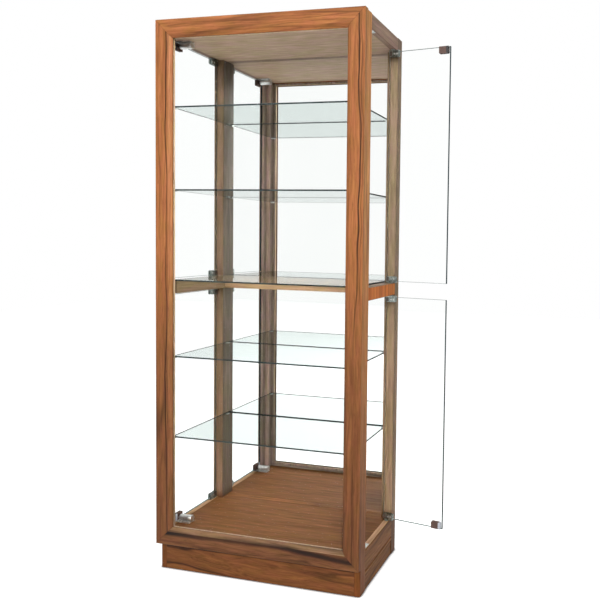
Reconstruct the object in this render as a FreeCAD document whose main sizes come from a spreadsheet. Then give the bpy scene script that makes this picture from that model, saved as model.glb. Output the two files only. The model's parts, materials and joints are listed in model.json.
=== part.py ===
"""Free-standing display case: glazed front frame, mirrored back, two glass doors on each side.

Millimetres. +X is the case's right, +Y points to its back, +Z up. The origin is on the floor, below
the middle of the front plinth board. The doors on the right stand open, those on the left are closed.
"""
import FreeCAD, Part
import os
import Sketcher

DIMENSIONS = {
    "case_height": 1800,
    "case_width": 720,
    "case_depth": 330,
    "edge_break": 2,
    # Mitred front frame
    "frame_wide": 58,
    "frame_thick": 22,
    "frame_bottom": 90,
    "bevel_wide": 12,
    "bevel_deep": 8,
    "glass_rebate": 10,
    "front_glass_thick": 4,
    "bead_thick": 6,
    "bead_wide": 8,
    "glass_clear": 1,
    # Posts, which run from the floor to the top
    "post_side": 38,
    "post_inset": 4,
    # Rails and panels
    "rail_thick": 20,
    "soffit_drop": 45,
    "soffit_thick": 12,
    "top_thick": 16,
    "floor_level": 130,
    "floor_thick": 16,
    "bottom_rail_high": 80,
    "rail_groove": 3,
    "rail_groove_lift": 8,
    "mid_level": 962,
    "mid_rail_high": 42,
    "mid_rail_wide": 46,
    "hinge_block_long": 62,
    "back_rail_thick": 30,
    "plinth_high": 88,
    "plinth_side_high": 46,
    "plinth_thick": 18,
    "plinth_recess": 2,
    # Mirrored back
    "mirror_thick": 4,
    "board_thick": 4,
    "mirror_rebate": 8,
    "clip_long": 30,
    "clip_wide": 14,
    "clip_thick": 1.5,
    "clip_end": 90,
    # Glass shelves and their pins; drops are from the soffit and rises from the floor panel
    "shelf_thick": 5,
    "shelf_drop_1": 230,
    "shelf_drop_2": 498,
    "shelf_rise_4": 580,
    "shelf_rise_5": 312,
    "shelf_side_clear": 1.5,
    "shelf_front_clear": 3,
    "shelf_back_clear": 4,
    "pin_stem": 12,
    "pin_radius": 2.5,
    "pin_spade_long": 12,
    "pin_spade_wide": 10,
    "pin_spade_thick": 3,
    "hole_clear": 0.05,
    # Glass doors
    "door_glass_thick": 5,
    "door_gap": 3,
    "door_lift": 6,
    "pivot_inset": 14,
    "open_angle": 82,
    # Pivot hinges clamped on the corners of the glass
    "hinge_long": 36,
    "hinge_leg": 17,
    "hinge_thick": 13,
    "hinge_corner": 3,
    "slot_clear": 0.1,
    "pivot_radius": 3,
    "pivot_long": 7,
    "pivot_seat_gap": 0.3,
    "bush_wide": 12,
    "bush_long": 22,
    "bush_deep": 8,
    "bush_proud": 1.5,
    # Strike clips at the free corners of the doors
    "strike_long": 34,
    "strike_leg": 22,
    "strike_web": 1,
    "strike_thick": 11,
    "strike_corner": 3,
    "strike_edge": 7,
    # Touch latches with a magnet plunger
    "latch_radius": 10,
    "latch_long": 44,
    "latch_axis_height": 14,
    "latch_foot_wide": 24,
    "latch_foot_thick": 3,
    "latch_neck_wide": 10,
    "latch_bore_deep": 22,
    "plunger_long": 22,
    "plunger_radius": 6,
    "plunger_proud": 7.3,
    "plunger_tip_gap": 0.4,
}

doc = FreeCAD.newDocument("display_case")
sheet = doc.addObject("Spreadsheet::Sheet", "dims")
for row, (alias, number) in enumerate(DIMENSIONS.items(), start=1):
    sheet.set(f"A{row}", alias)
    sheet.set(f"B{row}", str(number))
    sheet.setAlias(f"B{row}", alias)
doc.recompute()

# Named places, as expressions on the sheet
FRAME_BACK = "(-dims.plinth_thick / 2)"
BACK = f"({FRAME_BACK} - dims.frame_thick + dims.case_depth)"
POST_OUT = "(dims.case_width / 2 - dims.post_inset)"
POST_IN = "(dims.case_width / 2 - dims.post_inset - dims.post_side)"
FRONT_POST_STEP = f"({FRAME_BACK} + dims.plinth_thick)"
FRONT_POST_REAR = f"({FRAME_BACK} + dims.post_side)"
BACK_POST_FRONT = f"({BACK} - dims.post_side)"
RAIL_IN = f"({POST_OUT} - dims.rail_thick)"
BACK_RAIL_FRONT = f"({BACK} - dims.rail_thick)"
MIRROR_FACE = f"({BACK} - dims.board_thick - dims.mirror_thick)"
FRAME_IN = "(dims.case_width / 2 - dims.frame_wide)"
FRAME_IN_TOP = "(dims.case_height - dims.frame_wide)"
FRAME_IN_BOTTOM = "(dims.frame_bottom + dims.frame_wide)"
SOFFIT = "(dims.case_height - dims.soffit_drop)"
MID_BOTTOM = "(dims.mid_level - dims.mid_rail_high)"
BLOCK_FRONT = f"({BACK_POST_FRONT} - dims.hinge_block_long)"
RAIL_BOTTOM = "(dims.floor_level - dims.bottom_rail_high)"
PIVOT_X = f"({POST_OUT} - dims.rail_thick / 2)"
PIVOT_Y = f"({BACK_POST_FRONT} - dims.door_gap - dims.pivot_inset)"
DOOR_REACH = f"({PIVOT_Y} - {FRONT_POST_REAR} - dims.door_gap)"
STRIKE_FACE = f"({PIVOT_X} - dims.strike_thick / 2)"
PLUNGER_TIP = f"({STRIKE_FACE} - dims.plunger_tip_gap)"
LATCH_FACE = f"({PLUNGER_TIP} - dims.plunger_proud)"
LATCH_Y = f"({PIVOT_Y} - {DOOR_REACH} + dims.strike_edge + dims.strike_long / 2)"
PINNED_LEVELS = [
    f"({SOFFIT} - dims.shelf_drop_1)",
    f"({SOFFIT} - dims.shelf_drop_2)",
    "(dims.floor_level + dims.shelf_rise_4)",
    "(dims.floor_level + dims.shelf_rise_5)",
]
SHELF_LEVELS = PINNED_LEVELS[:2] + ["dims.mid_level"] + PINNED_LEVELS[2:]
PIN_ROWS = {
    "front": f"({FRAME_BACK} + dims.plinth_thick / 2)",
    "back": f"({BACK} - dims.post_side / 2)",
}
SIDES = {"left": -1, "right": 1}
UPSIDE_DOWN = FreeCAD.Rotation(FreeCAD.Vector(1, 0, 0), 180)
ABOUT_FACE = FreeCAD.Rotation(FreeCAD.Vector(0, 0, 1), 180)
DIGITS = 3
nodes = {}


def value(expression):
    return float(sheet.evalExpression(expression))


def keep(node, shape_object):
    shape_object.Label = node
    nodes[node] = shape_object
    return shape_object


def place(thing, x="0", y="0", z="0"):
    for axis, expression in zip("xyz", (x, y, z)):
        thing.setExpression(f"Placement.Base.{axis}", expression)
    return thing


def box(name, x, y, z):
    """Square-edged board between a low and a high expression on each axis."""
    thing = doc.addObject("Part::Box", name)
    for size, (low, high) in zip(("Length", "Width", "Height"), (x, y, z)):
        thing.setExpression(size, f"({high}) - ({low})")
    return place(thing, x[0], y[0], z[0])


def rod(name, radius, length, x, y, z, along="z"):
    """Cylinder from a point, along +Z, or along +X or -X."""
    thing = doc.addObject("Part::Cylinder", name)
    turn = {"z": 0, "x": 90, "-x": -90}[along]
    thing.Placement.Rotation = FreeCAD.Rotation(FreeCAD.Vector(0, 1, 0), turn)
    thing.setExpression("Radius", radius)
    thing.setExpression("Height", length)
    return place(thing, x, y, z)


def outline(body, plane, points):
    """Closed polygon on one of the body's own planes, each corner held by two expressions."""
    sketch = body.newObject("Sketcher::SketchObject", f"{body.Name}_outline")
    support = next(f for f in body.Origin.OriginFeatures if f.Role == plane)
    sketch.AttachmentSupport = [(support, "")]
    sketch.MapMode = "FlatFace"
    corners = [FreeCAD.Vector(value(x), value(y), 0) for x, y in points]
    for index, corner in enumerate(corners):
        following = corners[(index + 1) % len(corners)]
        sketch.addGeometry(Part.LineSegment(corner, following))
    for index, (x, y) in enumerate(points):
        after = (index + 1) % len(points)
        sketch.addConstraint(Sketcher.Constraint("Coincident", index, 2, after, 1))
        for kind, expression in (("DistanceX", x), ("DistanceY", y)):
            held = Sketcher.Constraint(kind, -1, 1, index, 1, value(expression))
            number = sketch.addConstraint(held)
            sketch.setExpression(f"Constraints[{number}]", expression)
    return sketch


def prism(name, plane, points, length):
    """Body padded from a polygon."""
    body = doc.addObject("PartDesign::Body", name)
    pad = body.newObject("PartDesign::Pad", f"{name}_pad")
    pad.Profile = outline(body, plane, points)
    pad.setExpression("Length", length)
    return body


def turned(name, points):
    """Body of revolution about X, from a polygon that touches or clears the axis."""
    body = doc.addObject("PartDesign::Body", name)
    spin = body.newObject("PartDesign::Revolution", f"{name}_turn")
    spin.Profile = outline(body, "XY_Plane", points)
    line = next(f for f in body.Origin.OriginFeatures if f.Role == "X_Axis")
    spin.ReferenceAxis = (line, [""])
    spin.Angle = 360
    return body


def joined(name, things, kind="Part::MultiFuse"):
    group = doc.addObject(kind, name)
    if kind == "Part::Compound":
        group.Links = things
    else:
        group.Shapes = things
    return group


def cut(name, base, tools):
    thing = doc.addObject("Part::Cut", name)
    thing.Base = base
    thing.Tool = tools[0] if len(tools) == 1 else joined(f"{name}_tools", tools, "Part::Compound")
    return thing


def copy_of(name, master, rotation, x, y, z):
    link = doc.addObject("App::Link", name)
    link.LinkedObject = master
    link.Placement = FreeCAD.Placement(FreeCAD.Vector(), rotation)
    return place(link, x, y, z)


def edge_at(shape, point):
    """Name of the edge whose middle lies nearest to a point."""
    def miss(edge):
        return edge.CenterOfMass.distanceToPoint(point)
    nearest = min(range(len(shape.Edges)), key=lambda index: miss(shape.Edges[index]))
    return f"Edge{nearest + 1}"


def slope_depth(shape):
    """Depth of the one face that stands neither square to the front nor parallel to it."""
    leans = {face: round(abs(face.normalAt(0, 0).y), DIGITS) for face in shape.Faces}
    slope = next(face for face, lean in leans.items() if lean not in (0, 1))
    return slope.BoundBox.YLength


def frame_member(node, outer, inner, rebate):
    """Mitred member of the front frame: bevelled inner edge in front, glass rebate behind."""
    name = f"{node}_wood"
    body = prism(name, "XZ_Plane", [outer[0], outer[1], inner[1], inner[0]], "dims.frame_thick")
    pad = body.Tip
    doc.recompute()

    def middle(ends):
        x, z = (sum(value(end[axis]) for end in ends) / 2 for axis in (0, 1))
        return FreeCAD.Vector(x, -value("dims.frame_thick"), z)

    bevel = body.newObject("PartDesign::Chamfer", f"{name}_bevel")
    bevel.Base = (pad, [edge_at(pad.Shape, middle(inner))])
    bevel.ChamferType = "Two distances"
    bevel.setExpression("Size", "dims.bevel_wide")
    bevel.setExpression("Size2", "dims.bevel_deep")
    doc.recompute()
    bevel.FlipDirection = round(slope_depth(bevel.Shape) - value("dims.bevel_deep"), DIGITS) != 0
    doc.recompute()
    arris = body.newObject("PartDesign::Chamfer", f"{name}_arris")
    arris.Base = (bevel, [edge_at(bevel.Shape, middle(outer))])
    arris.setExpression("Size", "dims.edge_break")
    slot = body.newObject("PartDesign::Pocket", f"{name}_rebate")
    slot.Profile = outline(body, "XZ_Plane", rebate)
    slot.Reversed = True
    slot.setExpression("Length", "dims.glass_rebate")
    place(body, y=FRAME_BACK)
    return keep(node, body)


def rectangle(x, y):
    return [(x[0], y[0]), (x[1], y[0]), (x[1], y[1]), (x[0], y[1])]


def front_frame():
    half, low, high = "dims.case_width / 2", "dims.frame_bottom", "dims.case_height"
    reach = "dims.glass_rebate"
    tall = (f"{FRAME_IN_BOTTOM} - {reach}", f"{FRAME_IN_TOP} + {reach}")
    for side, sign in SIDES.items():
        outer = [(f"{sign} * {half}", low), (f"{sign} * {half}", high)]
        inner = [(f"{sign} * {FRAME_IN}", FRAME_IN_BOTTOM), (f"{sign} * {FRAME_IN}", FRAME_IN_TOP)]
        across = (f"{sign} * ({FRAME_IN} - {reach})", f"{sign} * ({FRAME_IN} + {reach})")
        frame_member(f"front_stile_{side}", outer, inner, rectangle(across, tall))
    wide = (f"-{FRAME_IN} - {reach}", f"{FRAME_IN} + {reach}")
    for end, edge, inside in (("top", high, FRAME_IN_TOP), ("bottom", low, FRAME_IN_BOTTOM)):
        outer = [(f"-{half}", edge), (half, edge)]
        inner = [(f"-{FRAME_IN}", inside), (FRAME_IN, inside)]
        up_and_down = (f"{inside} - {reach}", f"{inside} + {reach}")
        frame_member(f"front_rail_{end}", outer, inner, rectangle(wide, up_and_down))


def front_glazing():
    """Front pane in the frame's rebate, with four beads behind it."""
    side = f"({FRAME_IN} + dims.glass_rebate)"
    low = f"({FRAME_IN_BOTTOM} - dims.glass_rebate)"
    high = f"({FRAME_IN_TOP} + dims.glass_rebate)"
    bead_front = f"({FRAME_BACK} - dims.bead_thick)"
    pane_x = (f"dims.glass_clear - {side}", f"{side} - dims.glass_clear")
    pane_z = (f"{low} + dims.glass_clear", f"{high} - dims.glass_clear")
    pane_y = (f"{bead_front} - dims.front_glass_thick", bead_front)
    keep("front_glass", box("front_pane", pane_x, pane_y, pane_z))
    depth = (bead_front, FRAME_BACK)
    beads = []
    for name, sign in SIDES.items():
        edges = sorted((f"{sign} * ({side} - dims.bead_wide)", f"{sign} * {side}"), key=value)
        beads.append(box(f"bead_{name}", edges, depth, (low, high)))
    between = (f"dims.bead_wide - {side}", f"{side} - dims.bead_wide")
    beads.append(box("bead_bottom", between, depth, (low, f"{low} + dims.bead_wide")))
    beads.append(box("bead_top", between, depth, (f"{high} - dims.bead_wide", high)))
    keep("front_glass_beads", joined("beads", beads, "Part::Compound"))


def pin_height(level):
    """Axis of the pins that carry a shelf, whose underside lies on their spades."""
    return f"{level} - dims.pin_spade_thick / 2"


def posts():
    """Four full-height posts, drilled for the shelf pins.

    Behind the frame the front pair steps back to the thickness of a rail; the plinth laps its thick part.
    """
    for side, sign in SIDES.items():
        inner, outer = f"{sign} * {POST_IN}", f"{sign} * {POST_OUT}"
        eased = f"{sign} * ({POST_OUT} - dims.edge_break)"
        stepped = f"{sign} * {RAIL_IN}"
        front_plan = [
            (inner, FRAME_BACK),
            (eased, FRAME_BACK),
            (outer, f"{FRAME_BACK} + dims.edge_break"),
            (outer, FRONT_POST_REAR),
            (stepped, FRONT_POST_REAR),
            (stepped, FRONT_POST_STEP),
            (inner, FRONT_POST_STEP),
        ]
        rebated = f"{sign} * ({POST_IN} + dims.mirror_rebate)"
        back_plan = [
            (inner, BACK_POST_FRONT),
            (outer, BACK_POST_FRONT),
            (outer, f"{BACK} - dims.edge_break"),
            (eased, BACK),
            (rebated, BACK),
            (rebated, MIRROR_FACE),
            (inner, MIRROR_FACE),
        ]
        for end, plan in (("front", front_plan), ("back", back_plan)):
            name = f"post_{end}_{side}"
            body = prism(f"{name}_wood", "XY_Plane", plan, "dims.case_height")
            tools = []
            for number, level in enumerate(PINNED_LEVELS):
                drill = rod(f"{name}_pin_hole_{number}", "dims.pin_radius + dims.hole_clear",
                            "dims.pin_stem + dims.hole_clear", inner, PIN_ROWS[end], pin_height(level),
                            "x" if sign > 0 else "-x")
                tools.append(drill)
            if end == "front":
                lap = sorted((inner, stepped), key=value)
                depth = (FRAME_BACK, FRONT_POST_STEP)
                tools.append(box(f"{name}_lap", lap, depth, ("0", "dims.plinth_high")))
            keep(name, cut(f"{name}_cut", body, tools))


def panel(node, bottom, thick):
    """Horizontal panel between the rails, notched round the four posts."""
    half = [
        (POST_IN, FRAME_BACK),
        (POST_IN, FRONT_POST_STEP),
        (RAIL_IN, FRONT_POST_STEP),
        (RAIL_IN, BACK_POST_FRONT),
        (POST_IN, BACK_POST_FRONT),
        (POST_IN, BACK_RAIL_FRONT),
    ]
    other_half = [(f"-{x}", y) for x, y in reversed(half)]
    body = prism(f"{node}_board", "XY_Plane", half + other_half, thick)
    keep(node, place(body, z=bottom))


def bush_mortise(name, x, z, from_above):
    """Mortise for a hinge bush, sunk into a top face or into an underside."""
    half_wide = "(dims.bush_wide / 2 + dims.hole_clear)"
    half_long = "(dims.bush_long / 2 + dims.hole_clear)"
    across = (f"{x} - {half_wide}", f"{x} + {half_wide}")
    along = (f"{PIVOT_Y} - {half_long}", f"{PIVOT_Y} + {half_long}")
    deep = "(dims.bush_deep + dims.hole_clear)"
    return box(name, across, along, (f"{z} - {deep}", z) if from_above else (z, f"{z} + {deep}"))


def side_rail(node, section, front, rear, recesses):
    """Rail along the depth of the case, with its section given in X and Z."""
    body = prism(f"{node}_wood", "XZ_Plane", section, f"{rear} - {front}")
    place(body, y=rear)
    keep(node, cut(f"{node}_cut", body, recesses))


def side_rails():
    ease = "dims.edge_break"
    for side, sign in SIDES.items():
        inner, outer = f"{sign} * {RAIL_IN}", f"{sign} * {POST_OUT}"
        eased = f"{sign} * ({POST_OUT} - {ease})"
        pivot = f"{sign} * {PIVOT_X}"
        top = [
            (inner, SOFFIT),
            (outer, SOFFIT),
            (outer, f"dims.case_height - {ease}"),
            (eased, "dims.case_height"),
            (inner, "dims.case_height"),
        ]
        mortise = bush_mortise(f"top_rail_{side}_mortise", pivot, SOFFIT, False)
        side_rail(f"top_rail_{side}", top, FRONT_POST_REAR, BACK_POST_FRONT, [mortise])
        groove = f"({RAIL_BOTTOM} + dims.rail_groove_lift)"
        bottom = [
            (inner, RAIL_BOTTOM),
            (outer, RAIL_BOTTOM),
            (outer, groove),
            (f"{sign} * ({POST_OUT} - dims.rail_groove)", f"{groove} + dims.rail_groove"),
            (outer, f"{groove} + 2 * dims.rail_groove"),
            (outer, f"dims.floor_level - {ease}"),
            (eased, "dims.floor_level"),
            (inner, "dims.floor_level"),
        ]
        mortise = bush_mortise(f"bottom_rail_{side}_mortise", pivot, "dims.floor_level", True)
        side_rail(f"bottom_rail_{side}", bottom, FRONT_POST_REAR, BACK_POST_FRONT, [mortise])
        deep_in = f"{sign} * ({POST_OUT} - dims.mid_rail_wide)"
        middle = [
            (deep_in, MID_BOTTOM),
            (eased, MID_BOTTOM),
            (outer, f"{MID_BOTTOM} + {ease}"),
            (outer, f"dims.mid_level - {ease}"),
            (eased, "dims.mid_level"),
            (deep_in, "dims.mid_level"),
        ]
        round_post = box(f"mid_rail_{side}_notch", sorted((inner, outer), key=value),
                         (FRONT_POST_STEP, FRONT_POST_REAR), (MID_BOTTOM, "dims.mid_level"))
        side_rail(f"mid_rail_{side}", middle, FRONT_POST_STEP, BLOCK_FRONT, [round_post])
        mortises = [
            bush_mortise(f"hinge_block_{side}_mortise_above", pivot, "dims.mid_level", True),
            bush_mortise(f"hinge_block_{side}_mortise_below", pivot, MID_BOTTOM, False),
        ]
        side_rail(f"hinge_block_{side}", middle, BLOCK_FRONT, BACK_POST_FRONT, mortises)


def back_rails():
    """Rails across the back, rebated behind for the mirrors and their boards."""
    lip = "dims.mirror_rebate"
    top = [
        (BACK_RAIL_FRONT, SOFFIT),
        (MIRROR_FACE, SOFFIT),
        (MIRROR_FACE, f"{SOFFIT} + {lip}"),
        (BACK, f"{SOFFIT} + {lip}"),
        (BACK, "dims.case_height"),
        (BACK_RAIL_FRONT, "dims.case_height"),
    ]
    front = f"({BACK} - dims.back_rail_thick)"
    middle = [
        (front, MID_BOTTOM),
        (MIRROR_FACE, MID_BOTTOM),
        (MIRROR_FACE, f"{MID_BOTTOM} + {lip}"),
        (BACK, f"{MID_BOTTOM} + {lip}"),
        (BACK, f"dims.mid_level - {lip}"),
        (MIRROR_FACE, f"dims.mid_level - {lip}"),
        (MIRROR_FACE, "dims.mid_level"),
        (front, "dims.mid_level"),
    ]
    bottom = [
        (BACK_RAIL_FRONT, RAIL_BOTTOM),
        (BACK, RAIL_BOTTOM),
        (BACK, f"dims.floor_level - {lip}"),
        (MIRROR_FACE, f"dims.floor_level - {lip}"),
        (MIRROR_FACE, "dims.floor_level"),
        (BACK_RAIL_FRONT, "dims.floor_level"),
    ]
    for level, section in (("top", top), ("mid", middle), ("bottom", bottom)):
        node = f"{level}_rail_back"
        body = prism(f"{node}_wood", "YZ_Plane", section, f"2 * {POST_IN}")
        keep(node, place(body, x=f"-{POST_IN}"))


def plinth():
    depth = (FRAME_BACK, FRONT_POST_STEP)
    height = ("0", "dims.plinth_high")
    keep("plinth_front", box("plinth_front_board", (f"-{RAIL_IN}", RAIL_IN), depth, height))
    outer = f"({POST_OUT} - dims.plinth_recess)"
    length = (FRONT_POST_REAR, BACK_POST_FRONT)
    height = ("0", "dims.plinth_side_high")
    for side, sign in SIDES.items():
        across = sorted((f"{sign} * ({outer} - dims.plinth_thick)", f"{sign} * {outer}"), key=value)
        keep(f"plinth_{side}", box(f"plinth_{side}_board", across, length, height))
    rear = f"({BACK} - dims.plinth_recess)"
    depth = (f"{rear} - dims.plinth_thick", rear)
    keep("plinth_back", box("plinth_back_board", (f"-{POST_IN}", POST_IN), depth, height))


def mirrored_back():
    """Two mirrors, each with a board behind it, held by spring clips on the back posts."""
    lip = "(dims.mirror_rebate - dims.glass_clear)"
    across = (f"-{POST_IN} - {lip}", f"{POST_IN} + {lip}")
    heights = {
        "upper": (f"dims.mid_level - {lip}", f"{SOFFIT} + {lip}"),
        "lower": (f"dims.floor_level - {lip}", f"{MID_BOTTOM} + {lip}"),
    }
    board_front = f"({BACK} - dims.board_thick)"
    layers = {"mirror": (MIRROR_FACE, board_front), "back_board": (board_front, BACK)}
    clip_depth = (BACK, f"{BACK} + dims.clip_thick")
    clips = []
    for which, (low, high) in heights.items():
        for layer, depth in layers.items():
            keep(f"{layer}_{which}", box(f"{layer}_{which}_sheet", across, depth, (low, high)))
        clip_heights = (f"{low} + dims.clip_end", f"({low} + {high}) / 2", f"{high} - dims.clip_end")
        for side, sign in SIDES.items():
            centre = f"{sign} * ({POST_IN} + dims.mirror_rebate)"
            wide = (f"{centre} - dims.clip_long / 2", f"{centre} + dims.clip_long / 2")
            for number, height in enumerate(clip_heights):
                tall = (f"{height} - dims.clip_wide / 2", f"{height} + dims.clip_wide / 2")
                clips.append(box(f"clip_{which}_{side}_{number}", wide, clip_depth, tall))
    keep("back_clips", joined("clips", clips, "Part::Compound"))


def shelves():
    """Glass shelves; all but the middle one, which lies on the rails, rest on pins in the posts."""
    across = (f"dims.shelf_side_clear - {POST_IN}", f"{POST_IN} - dims.shelf_side_clear")
    depth = (f"{FRAME_BACK} + dims.shelf_front_clear", f"{MIRROR_FACE} - dims.shelf_back_clear")
    for number, level in enumerate(SHELF_LEVELS, start=1):
        height = (level, f"{level} + dims.shelf_thick")
        keep(f"shelf_{number}", box(f"shelf_{number}_glass", across, depth, height))
    half_wide, half_thick = "dims.pin_spade_wide / 2", "dims.pin_spade_thick / 2"
    stem = rod("pin_stem", "dims.pin_radius", "dims.pin_stem", "0", "0", "0", "x")
    spade = box("pin_spade", ("-dims.pin_spade_long", "0"), (f"-{half_wide}", half_wide),
                (f"-{half_thick}", half_thick))
    master = joined("shelf_pin", [stem, spade])
    pins = []
    for number, level in enumerate(PINNED_LEVELS):
        for side, sign in SIDES.items():
            turn = FreeCAD.Rotation() if sign > 0 else ABOUT_FACE
            face = f"{sign} * {POST_IN}"
            for row, depth_of_row in PIN_ROWS.items():
                name = f"pin_{number}_{side}_{row}"
                pins.append(copy_of(name, master, turn, face, depth_of_row, pin_height(level)))
    keep("shelf_pins", joined("pins", pins, "Part::Compound"))


def glass_clip(name, near, far, edge, upward, size, web_thick):
    """Channel that grips the glass from its top or bottom edge; size names its row of dimensions.

    A hinge has cut corners, a strike has round ones.
    """
    sign = 1 if upward else -1
    web, leg = f"{edge} + {sign} * {web_thick}", f"{edge} - {sign} * dims.{size}_leg"
    body = prism(f"{name}_block", "YZ_Plane", rectangle((near, far), (web, leg)), f"dims.{size}_thick")
    pad = body.Tip
    doc.recompute()
    middle = value(f"dims.{size}_thick") / 2
    corners = [FreeCAD.Vector(middle, value(end), value(leg)) for end in (near, far)]
    form, measure = ("Chamfer", "Size") if size == "hinge" else ("Fillet", "Radius")
    easing = body.newObject(f"PartDesign::{form}", f"{name}_corners")
    easing.Base = (pad, [edge_at(pad.Shape, corner) for corner in corners])
    easing.setExpression(measure, f"dims.{size}_corner")
    place(body, x=f"-dims.{size}_thick / 2")
    half_slot = "(dims.door_glass_thick / 2 + dims.slot_clear)"
    tall = sorted((edge, leg), key=value)
    slot = box(f"{name}_slot", (f"-{half_slot}", half_slot), (near, far), tall)
    return cut(f"{name}_channel", body, [slot])


def hinge(name, edge, seat, upward):
    """Glass clip whose web runs on the bush, with the pivot pin that turns in it."""
    sign = 1 if upward else -1
    web_thick = "(dims.door_lift - dims.bush_proud - dims.pivot_seat_gap)"
    near = "(dims.pivot_inset - dims.hinge_long)"
    clip = glass_clip(name, near, "dims.pivot_inset", edge, upward, "hinge", web_thick)
    tip = f"({seat} + {sign} * dims.pivot_long)"
    low, high = sorted((edge, tip), key=value)
    pin = rod(f"{name}_pin", "dims.pivot_radius", f"{high} - {low}", "0", "0", low)
    return joined(f"{name}_whole", [clip, pin])


def hung(node, things, side):
    """Door pieces, drawn about the pivot with the door closed, set on the pivot at their rest angle."""
    sign = SIDES[side]
    door = joined(f"{node}_hung", things, "Part::Compound")
    door.Placement.Rotation = FreeCAD.Rotation(FreeCAD.Vector(0, 0, 1), 1)
    door.setExpression("Placement.Rotation.Angle", "dims.open_angle" if side == "right" else "0")
    keep(node, place(door, f"{sign} * {PIVOT_X}", PIVOT_Y))


def doors():
    seats = {"upper": ("dims.mid_level", SOFFIT), "lower": ("dims.floor_level", MID_BOTTOM)}
    for which, (sill, head) in seats.items():
        low, high = f"({sill} + dims.door_lift)", f"({head} - dims.door_lift)"
        for side in SIDES:
            name = f"{which}_{side}"
            thick = ("-dims.door_glass_thick / 2", "dims.door_glass_thick / 2")
            pane = box(f"door_{name}_pane", thick, (f"-{DOOR_REACH}", "dims.pivot_inset"), (low, high))
            hung(f"door_glass_{name}", [pane], side)
            lower = hinge(f"hinge_{name}_lower", low, sill, False)
            upper = hinge(f"hinge_{name}_upper", high, head, True)
            hung(f"hinge_clips_{name}", [lower, upper], side)
            near = f"(dims.strike_edge - {DOOR_REACH})"
            far = f"({near} + dims.strike_long)"
            at_top = which == "upper"
            edge = high if at_top else low
            strike = glass_clip(f"strike_{name}", near, far, edge, at_top, "strike", "dims.strike_web")
            hung(f"strike_clip_{name}", [strike], side)


def hinge_bushes():
    """Square-ended bushes let into the rails, each bored for a pivot pin."""
    half_wide, half_long = "dims.bush_wide / 2", "dims.bush_long / 2"
    height = ("-dims.bush_deep", "dims.bush_proud")
    block = box("hinge_bush_block", (f"-{half_wide}", half_wide), (f"-{half_long}", half_long), height)
    bore = rod("hinge_bush_bore", "dims.pivot_radius + dims.hole_clear",
               "dims.bush_deep + dims.bush_proud", "0", "0", "-dims.bush_deep")
    master = cut("hinge_bush", block, [bore])
    seats = {
        "floor": ("dims.floor_level", FreeCAD.Rotation()),
        "rail_under": (MID_BOTTOM, UPSIDE_DOWN),
        "rail_over": ("dims.mid_level", FreeCAD.Rotation()),
        "head": (SOFFIT, UPSIDE_DOWN),
    }
    bushes = []
    for side, sign in SIDES.items():
        for seat, (level, turn) in seats.items():
            name = f"bush_{seat}_{side}"
            bushes.append(copy_of(name, master, turn, f"{sign} * {PIVOT_X}", PIVOT_Y, level))
    keep("hinge_bushes", joined("bushes", bushes, "Part::Compound"))


def latches():
    """Touch latches: a housing on the soffit or the floor, and a plunger that a door pushes in."""
    bore = "dims.plunger_radius + dims.hole_clear"
    barrel = turned("latch_barrel", [
        ("-dims.latch_long", "0"),
        ("-dims.latch_long", "dims.latch_radius"),
        ("0", "dims.latch_radius"),
        ("0", bore),
        ("-dims.latch_bore_deep", bore),
        ("-dims.latch_bore_deep", "0"),
    ])
    ends = ("dims.edge_break - dims.latch_long", "-dims.edge_break")
    sole = "(-dims.latch_axis_height)"
    half_foot, half_neck = "dims.latch_foot_wide / 2", "dims.latch_neck_wide / 2"
    foot_top = f"{sole} + dims.latch_foot_thick"
    foot = box("latch_foot", ends, (f"-{half_foot}", half_foot), (sole, foot_top))
    neck_top = "(-dims.plunger_radius - dims.edge_break)"
    neck = box("latch_neck", ends, (f"-{half_neck}", half_neck), (sole, neck_top))
    housing = joined("latch_housing", [barrel, foot, neck])
    plunger = turned("latch_plunger", rectangle(("-dims.plunger_long", "0"), ("0", "dims.plunger_radius")))
    heights = {
        "upper": f"{SOFFIT} - dims.latch_axis_height",
        "lower": "dims.floor_level + dims.latch_axis_height",
    }
    housings = []
    for which, height in heights.items():
        for side, sign in SIDES.items():
            turn = ABOUT_FACE if sign < 0 else FreeCAD.Rotation()
            if which == "upper":
                turn = turn.multiply(UPSIDE_DOWN)
            name = f"{which}_{side}"
            face, tip = f"{sign} * {LATCH_FACE}", f"{sign} * {PLUNGER_TIP}"
            housings.append(copy_of(f"latch_{name}", housing, turn, face, LATCH_Y, height))
            nose = copy_of(f"plunger_{name}", plunger, turn, tip, LATCH_Y, height)
            keep(f"latch_plunger_{name}", joined(f"plunger_{name}_set", [nose], "Part::Compound"))
    keep("latch_housings", joined("housings", housings, "Part::Compound"))


front_frame()
front_glazing()
posts()
panel("top_panel", "dims.case_height - dims.top_thick", "dims.top_thick")
panel("soffit_panel", SOFFIT, "dims.soffit_thick")
panel("floor_panel", "dims.floor_level - dims.floor_thick", "dims.floor_thick")
side_rails()
back_rails()
plinth()
mirrored_back()
shelves()
doors()
hinge_bushes()
latches()
doc.recompute()

for thing in doc.Objects:
    if {"Invalid", "Error"} & set(thing.State):
        raise RuntimeError(f"{thing.Label} did not build: {thing.State}")
for node, thing in nodes.items():
    if thing.Shape.isNull() or not thing.Shape.isValid() or not thing.Shape.Solids:
        raise RuntimeError(f"{node} has no valid solid")

os.makedirs("parts", exist_ok=True)
for node, thing in nodes.items():
    thing.Shape.exportStep(f"parts/{node}.step")
print(len(nodes), "nodes,", sum(len(thing.Shape.Solids) for thing in nodes.values()), "solids")
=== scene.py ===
"""Looks of the display case: walnut, clear glass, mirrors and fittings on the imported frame.

Metres, in the frame of the solids: +X to the case's right, +Y to its back, +Z up.
"""
import json
import math
from collections import namedtuple

import bmesh
import bpy
from mathutils import Matrix, Vector


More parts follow.
